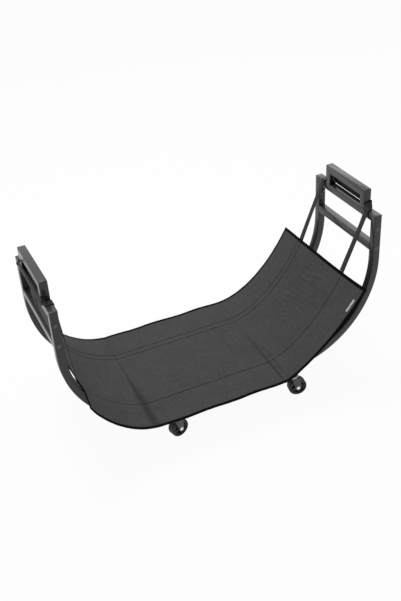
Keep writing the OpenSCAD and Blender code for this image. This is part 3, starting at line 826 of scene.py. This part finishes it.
class CART_OT_binding(Maker):
    """Tape folded over the four edges of the cloth"""
    bl_idname = "log_cart.binding"
    bl_label = "Edge binding"

    # places of the folded tape: distance from the edge, and height over the cloth's middle
    PROFILE = [(8.6, 0.76), (8.4, 1.02), (7.4, 1.12), (5.2, 1.15), (2.2, 1.13), (0.8, 0.95),
               (0.2, 0.55), (0.0, 0.05), (0.2, -0.45), (0.8, -0.80), (2.2, -0.93),
               (5.2, -0.95), (7.4, -0.93), (8.4, -0.88), (8.6, -0.76)]
    STEP = 3.2

    def execute(self, context):
        run = cloth_run()
        long, wide = run.length, CLOTH_W
        sides = [
            (long, lambda q, t: (mix(q, long - q, t), -CLOTH_HALF + q)),
            (wide, lambda q, t: (long - q, mix(-CLOTH_HALF + q, CLOTH_HALF - q, t))),
            (long, lambda q, t: (mix(long - q, q, t), CLOTH_HALF - q)),
            (wide, lambda q, t: (q, mix(CLOTH_HALF - q, -CLOTH_HALF + q, t))),
        ]
        joined = bmesh.new()
        for size, path in sides:
            def place(along, around, path=path):
                q, lift = on_outline(self.PROFILE, around)
                s, y = path(q, along)
                return run.at(s, y, lift)
            bm = swept(int(size / self.STEP), len(self.PROFILE), place, capped=False)
            scale_uv(bm, size * MM, 2 * BINDING_W * MM)
            part = bpy.data.meshes.new("strip")
            bm.to_mesh(part)
            bm.free()
            joined.from_mesh(part)
            bpy.data.meshes.remove(part)
        bmesh.ops.remove_doubles(joined, verts=joined.verts, dist=2e-5)
        put(outward(joined), "edge_binding", "binding_tape", "carrier", "binding_tape",
            ["carrier_binding"])
        return {"FINISHED"}


def tape_section(half_width, half_thick):
    """Outline of a woven tape: flat, with rounded edges."""
    w, t = half_width, half_thick
    r = min(t, 0.6)
    return [(-w + r, -t), (0, -t), (w - r, -t), (w - 0.2, -t * 0.6), (w, 0), (w - 0.2, t * 0.6),
            (w - r, t), (0, t), (-w + r, t), (-w + 0.2, t * 0.6), (-w, 0), (-w + 0.2, -t * 0.6)]


class CART_OT_webbing(Maker):
    """Two webbing straps sewn under the cloth"""
    bl_idname = "log_cart.webbing"
    bl_label = "Webbing"

    def execute(self, context):
        run = cloth_run()
        outline = tape_section(WEB_W / 2, WEB_T / 2)
        for side, sign in (("front", -1), ("back", 1)):
            def place(along, around):
                w, t = on_outline(outline, around)
                middle, half = web_place(sign, along)
                point = run.at(along * run.length, middle + w * half / (WEB_W / 2),
                               t - WEB_TOP - WEB_T / 2)
                point[2] = max(point[2], BAR_TOP + 0.1 + WEB_T / 2 + t)
                return point
            bm = swept(260, len(outline), place)
            scale_uv(bm, run.length * MM, 2 * WEB_W * MM)
            put(outward(bm), f"{side}_webbing", "webbing", "carrier", "webbing",
                [f"{side}_web"], TAPE_SHARP)
        return {"FINISHED"}


def softened(stations, step, reach):
    """Rows at even steps along the stations, whose first three numbers are a place, with the
    corners rounded off within reach."""
    stations = np.array(stations)
    walked = np.concatenate([[0], np.cumsum(np.linalg.norm(
        np.diff(stations[:, :3], axis=0), axis=1))])
    count = int(walked[-1] / step)
    even = np.linspace(0, walked[-1], count + 1)
    rows = np.array([np.interp(even, walked, column) for column in stations.T])
    k = int(3 * reach / step)
    window = np.exp(-0.5 * (np.arange(-k, k + 1) * step / reach)**2)
    padded = np.pad(rows, ((0, 0), (k, k)), mode="reflect", reflect_type="odd")
    return np.array([np.convolve(row, window / window.sum(), "valid") for row in padded]).T


UP = np.array([0, 0, 1.0])


def leaning(x, z):
    return np.array([x, 0, z]) / math.hypot(x, z)


def half_loop(foot, crossing, turn):
    """Stations of half a strap loop, as if at the front right: middle of the strap and its
    width direction. They are given as outer edge, twist in degrees and leaning direction."""
    foot = np.array(foot, float)
    lip = np.array([POST_X - TUBE / 2 - 1.6, -PASS_Y - WEB_W, RAIL_TOP - 5])
    climb = (lip - foot) / np.linalg.norm(lip - foot)
    side = np.array([-climb[2], 0, climb[0]])
    found = []
    for point, twist, way in [
            (foot, 0.4 * turn, side), (mix(foot, lip, 0.4), turn, side),
            (mix(foot, lip, 0.8), 1.2 * turn, side), (lip, 0, side), *crossing]:
        a = math.radians(twist)
        w = math.cos(a) * np.array([0, 1.0, 0]) + math.sin(a) * way
        found.append((np.array(point) + w * WEB_W / 2, w))
    return found


def tight_crossing(low):
    """A strap drawn tight over the cross tube turns on edge on top of the tube."""
    y, seat = -PASS_Y - WEB_W, RAIL_TOP + 1.2
    return [((POST_X - 11.3, y - 0.4, seat), 7, leaning(-0.5, 1)),
            ((POST_X - 7.5, y + 3, seat + 0.1), 33, UP),
            ((POST_X - 1, -PASS_Y - WEB_W * 0.6, seat), 54, UP),
            ((POST_X + 8, -PASS_Y - WEB_W * 0.4, seat), 70, UP),
            ((STRAND_X + 0.6, -PASS_Y - 1.5, mix(seat, low, 0.3)), 83, UP),
            ((STRAND_X + 0.6, -PASS_Y + 11, mix(seat, low, 0.7)), 90, UP),
            ((STRAND_X, -PASS_Y + 30, low), 90, UP),
            ((STRAND_X, 0, low), 90, UP)]


def slack_crossing(low, out):
    """A slack strap lies flat on the tube; its lower edge stands out by out behind it."""
    y, seat, lean = -PASS_Y - WEB_W, RAIL_TOP + 1.2, leaning(-out / WEB_W, 1)
    return [((POST_X - 11.3, y - 0.4, seat), 1, leaning(-0.5, 1)),
            ((POST_X - 7, y - 0.5, seat), 2, UP),
            ((POST_X + 6, y - 0.2, seat), 6, UP),
            ((STRAND_X, -PASS_Y - WEB_W * 0.7, seat - 1.5), 45, UP),
            ((STRAND_X + 0.5 + out / 2, -PASS_Y - 7, mix(seat, low, 0.5)), 70, lean),
            ((STRAND_X + 0.5 + out * 0.8, -PASS_Y + 8, mix(seat, low, 0.8)), 90, lean),
            ((STRAND_X + out, -PASS_Y + 40, low), 90, lean),
            ((STRAND_X + 2, 0, low - 1), 90, leaning(-2 / WEB_W, 1))]


class CART_OT_strap_loops(Maker):
    """The strap loops from the cloth's ends over the upper cross tubes"""
    bl_idname = "log_cart.strap_loops"
    bl_label = "Strap loops"

    def execute(self, context):
        run = cloth_run()
        outline = tape_section(WEB_W / 2, WEB_T / 2)
        tight = tight_crossing(RAIL_TOP - 1)
        slack = [slack_crossing(RAIL_TOP - 7, out) for out in (3, 0.5)]
        for end, sign, crossings, turns in (("right", 1, (tight, tight), (-5, 8)),
                                            ("left", -1, slack, (0, 0))):
            s0, s1 = (run.length, run.length - 3) if sign > 0 else (0, 3)
            halves = []
            for y, crossing, turn in zip((WEB_SHIFT - WEB_Y, WEB_SHIFT + WEB_Y), crossings, turns):
                tip, before = (run.at(s, y, -WEB_TOP - WEB_T / 2) for s in (s0, s1))
                tip = tip + 0.6 * (tip - before) / np.linalg.norm(tip - before)
                foot = (abs(tip[0]), -abs(y) - WEB_W / 2, tip[2])
                halves.append(half_loop(foot, crossing, turn))
            whole = halves[0] + [(c * (1, -1, 1), w * (1, -1, 1)) for c, w in halves[1][-2::-1]]
            rows = softened([(*(c * (sign, 1, 1)), *(w * (sign, 1, 1))) for c, w in whole],
                            STRAP_STEP, STRAP_SOFT)
            middles, widths = rows[:, :3], rows[:, 3:]
            ahead = np.gradient(middles, axis=0)
            ahead /= np.linalg.norm(ahead, axis=1, keepdims=True)
            widths = widths - (widths * ahead).sum(axis=1, keepdims=True) * ahead
            widths /= np.linalg.norm(widths, axis=1, keepdims=True)
            faces = np.cross(ahead, widths)

            def place(along, around):
                k = int(round(along * (len(rows) - 1)))
                a, b = on_outline(outline, around)
                return middles[k] + a * widths[k] + b * faces[k]
            bm = swept(len(rows) - 1, len(outline), place)
            scale_uv(bm, len(rows) * STRAP_STEP * MM, 2 * WEB_W * MM)
            put(outward(bm), f"{end}_strap", "webbing", "carrier", "webbing",
                [f"{end}_strap_loop"], TAPE_SHARP)
        return {"FINISHED"}


class CART_OT_tag(Maker):
    """A blank woven tag sewn to the front edge"""
    bl_idname = "log_cart.tag"
    bl_label = "Tag"

    def execute(self, context):
        run = cloth_run()
        steps = np.linspace(0, run.length, 400)
        heights = np.array([run.at(s, TAG_Y)[2] for s in steps])
        low, high = (run_point(TAG_Y, 2 + t)[1] for t in (TAG_FROM, TAG_TO))
        right = steps > run.length * 0.6
        s0, s1 = (float(np.interp(z, heights[right], steps[right])) for z in (low, high))
        outline = tape_section(TAG_HALF, TAG_HALF_T)

        def place(along, around):
            w, t = on_outline(outline, around)
            return run.at(mix(s0, s1, along), TAG_Y + w, t + HALF_T + 0.9)
        bm = swept(24, len(outline), place)
        scale_uv(bm, (s1 - s0) * MM, 14 * MM)
        put(outward(bm), "blank_tag", "tag_tape", "carrier", "tag_tape", ["carrier_tag"],
            TAPE_SHARP)
        return {"FINISHED"}


class CART_OT_stitches(Maker):
    """Rows of stitches along the webbing and the binding"""
    bl_idname = "log_cart.stitches"
    bl_label = "Stitches"

    HALF_THREAD, HALF_HEIGHT, SUNK, BINDING_INSET = 0.30, 0.22, 0.2, 1.6

    def execute(self, context):
        run = cloth_run()
        sizes = settings()[1]
        size, step = sizes.stitch / MM, sizes.stitch_step / MM
        joined = bmesh.new()

        def row(start, end, lift, place=None):
            """Stitches on the surface from start to end, both (s, y); place gives y at s."""
            a, b = np.array(start, float), np.array(end, float)
            count = int(np.linalg.norm(b - a) / step)
            way = (b - a) / np.linalg.norm(b - a)
            for k in range(count):
                c = a + way * (k + 0.5) * step
                if place:
                    c[1] = place(c[0])
                p0 = run.at(*(c - way * size / 2), lift)
                p1 = run.at(*(c + way * size / 2), lift)
                normal = run.at(*c, 1) - run.at(*c, 0)
                x = (p1 - p0) / np.linalg.norm(p1 - p0)
                y = np.cross(normal, x)
                turn = Matrix([
                    [x[i] * size / 2, y[i] * self.HALF_THREAD, normal[i] * self.HALF_HEIGHT,
                     (p0[i] + p1[i]) / 2] for i in range(3)] + [[0, 0, 0, 1]])
                bmesh.ops.create_icosphere(joined, subdivisions=1, radius=1,
                                           matrix=Matrix.Scale(MM, 4) @ turn)
        top = HALF_T + 0.10
        for sign in (-1, 1):
            for way in (-1, 1):
                # the front webbing's inner row is pulled in deeper and shows less
                sunk = self.SUNK if sign < 0 < way else 0
                row((12, 0), (run.length - 12, 0), top - sunk,
                    lambda s: seam_place(sign, way, s / run.length))
        edge = CLOTH_HALF - BINDING_W + self.BINDING_INSET
        tape = HALF_T + BIND_OVER + 0.05
        for y in (-edge, edge):
            row((6, y), (run.length - 6, y), tape)
        for s in (CLOTH_HALF - edge, run.length - CLOTH_HALF + edge):
            row((s, -edge), (s, edge), tape)
        put(joined, "seam_stitches", "sewing_thread", "carrier", "binding_tape")
        return {"FINISHED"}


# ---------- stage ----------

class CART_OT_stage(Maker):
    """Camera, lights, white floor and background"""
    bl_idname = "log_cart.stage"
    bl_label = "Stage"

    # the picture's camera, fitted to its outlines, in degrees, metres and pixels
    TURNED, PLACE = (-23.05, 33.60, -3.92), (-0.7308, -1.6839, 1.4871)
    FOCAL, PICTURE_H, SENSOR = 860.67, 601, 36.0
    # share of white in the floor where it is seen, tones of the floor, the light and the sky
    FLOOR_WHITE, FLOOR_TONE, SKY_LIGHT, SKY_WHITE = 0.95, 0.85, 0.44, 0.98
    LAMPS = [("top_light", (-0.3, 0.8, 2.5), (0.1, 0, 0.2), 1.4, 39),
             ("back_light", (1.75, 1.85, 1.6), (0.4, 0, 0.4), 1.2, 5)]

    def camera(self, context):
        turn, rise, roll = (math.radians(a) for a in self.TURNED)
        back = Vector((math.sin(turn) * math.cos(rise), -math.cos(turn) * math.cos(rise),
                       math.sin(rise)))
        right = Vector((math.cos(turn), math.sin(turn), 0))
        up = back.cross(right)
        x = math.cos(roll) * right + math.sin(roll) * up
        y = -math.sin(roll) * right + math.cos(roll) * up
        data = bpy.data.cameras.new("camera")
        data.sensor_fit, data.sensor_width = "AUTO", self.SENSOR
        data.lens = self.SENSOR * self.FOCAL / self.PICTURE_H
        data.clip_end = 50
        camera = bpy.data.objects.new("camera", data)
        camera.matrix_world = Matrix(
            [(x[i], y[i], back[i], self.PLACE[i]) for i in range(3)] + [(0, 0, 0, 1)])
        context.scene.collection.objects.link(camera)
        context.scene.camera = camera

    def lamp(self, context, name, place, aim, size, power):
        data = bpy.data.lights.new(name, "AREA")
        data.shape, data.size, data.energy = "DISK", size, power
        lamp = bpy.data.objects.new(name, data)
        lamp.location = place
        way = Vector(place) - Vector(aim)
        lamp.rotation_euler = way.to_track_quat("Z", "Y").to_euler()
        context.scene.collection.objects.link(lamp)

    def white_rays(self, tree):
        """1 for the rays that see the white: camera, glossy and transmitted."""
        rays = tree.nodes.new("ShaderNodeLightPath")
        seen = rays.outputs["Is Camera Ray"]
        for key in ("Is Glossy Ray", "Is Transmission Ray"):
            most = tree.nodes.new("ShaderNodeMath")
            most.operation = "MAXIMUM"
            tree.links.new(seen, most.inputs[0])
            tree.links.new(rays.outputs[key], most.inputs[1])
            seen = most.outputs[0]
        return seen

    def join(self, tree, seen, plain, white, output):
        """Mixes the plain and the white shader by seen, and sends the mix to the output."""
        both = tree.nodes.new("ShaderNodeMixShader")
        for k, socket in enumerate((seen, plain.outputs[0], white.outputs[0])):
            tree.links.new(socket, both.inputs[k])
        tree.links.new(both.outputs[0], tree.nodes[output].inputs["Surface"])

    def floor(self, context):
        material = bpy.data.materials.new("white_floor")
        material.use_nodes = True
        tree = material.node_tree
        tree.nodes.remove(tree.nodes["Principled BSDF"])
        part = tree.nodes.new("ShaderNodeMath")
        part.operation = "MULTIPLY"
        part.inputs[1].default_value = self.FLOOR_WHITE
        tree.links.new(self.white_rays(tree), part.inputs[0])
        matt = tree.nodes.new("ShaderNodeBsdfDiffuse")
        matt.inputs["Color"].default_value = (*(self.FLOOR_TONE,) * 3, 1)
        white = tree.nodes.new("ShaderNodeEmission")
        self.join(tree, part.outputs[0], matt, white, "Material Output")
        bm = bmesh.new()
        bmesh.ops.create_circle(bm, cap_ends=True, segments=96, radius=settings()[1].floor)
        mesh = bpy.data.meshes.new("floor")
        bm.to_mesh(mesh)
        bm.free()
        mesh.materials.append(material)
        floor = bpy.data.objects.new("floor", mesh)
        context.scene.collection.objects.link(floor)

    def background(self, context):
        world = bpy.data.worlds.new("studio")
        world.use_nodes = True
        context.scene.world = world
        tree = world.node_tree
        soft = tree.nodes["Background"]
        soft.inputs["Color"].default_value = (1, 1, 1, 1)
        soft.inputs["Strength"].default_value = self.SKY_LIGHT
        white = tree.nodes.new("ShaderNodeBackground")
        white.inputs["Color"].default_value = (*(self.SKY_WHITE,) * 3, 1)
        self.join(tree, self.white_rays(tree), soft, white, "World Output")

    def execute(self, context):
        context.scene.view_settings.view_transform = "Standard"
        self.camera(context)
        self.floor(context)
        self.background(context)
        for lamp in self.LAMPS:
            self.lamp(context, *lamp)
        return {"FINISHED"}


# ---------- sidebar ----------

OPERATORS = [CART_OT_stage, CART_OT_rails, CART_OT_cross_tubes, CART_OT_handle_frames,
             CART_OT_fasteners, CART_OT_base_bars, CART_OT_casters, CART_OT_binding,
             CART_OT_webbing, CART_OT_strap_loops, CART_OT_tag, CART_OT_stitches,
             CART_OT_cloth]


class CART_PT_panel(bpy.types.Panel):
    """Sizes, colours and building steps"""
    bl_idname = "CART_PT_panel"
    bl_label = "Log Cart"
    bl_space_type = "VIEW_3D"
    bl_region_type = "UI"
    bl_category = "Log Cart"

    def draw(self, context):
        for group in settings():
            box = self.layout.box()
            for key in group.__annotations__:
                box.prop(group, key)
        for operator in OPERATORS:
            self.layout.operator(operator.bl_idname)


CLASSES = [CartColours, CartSizes, *OPERATORS, CART_PT_panel]


def register():
    for cls in CLASSES:
        bpy.utils.register_class(cls)
    bpy.types.Scene.cart_colours = bpy.props.PointerProperty(type=CartColours)
    bpy.types.Scene.cart_sizes = bpy.props.PointerProperty(type=CartSizes)


def unregister():
    del bpy.types.Scene.cart_colours, bpy.types.Scene.cart_sizes
    for cls in reversed(CLASSES):
        bpy.utils.unregister_class(cls)


def main():
    register()
    for operator in OPERATORS:
        group, name = operator.bl_idname.split(".")
        getattr(getattr(bpy.ops, group), name)()


if __name__ == "__main__":
    main()
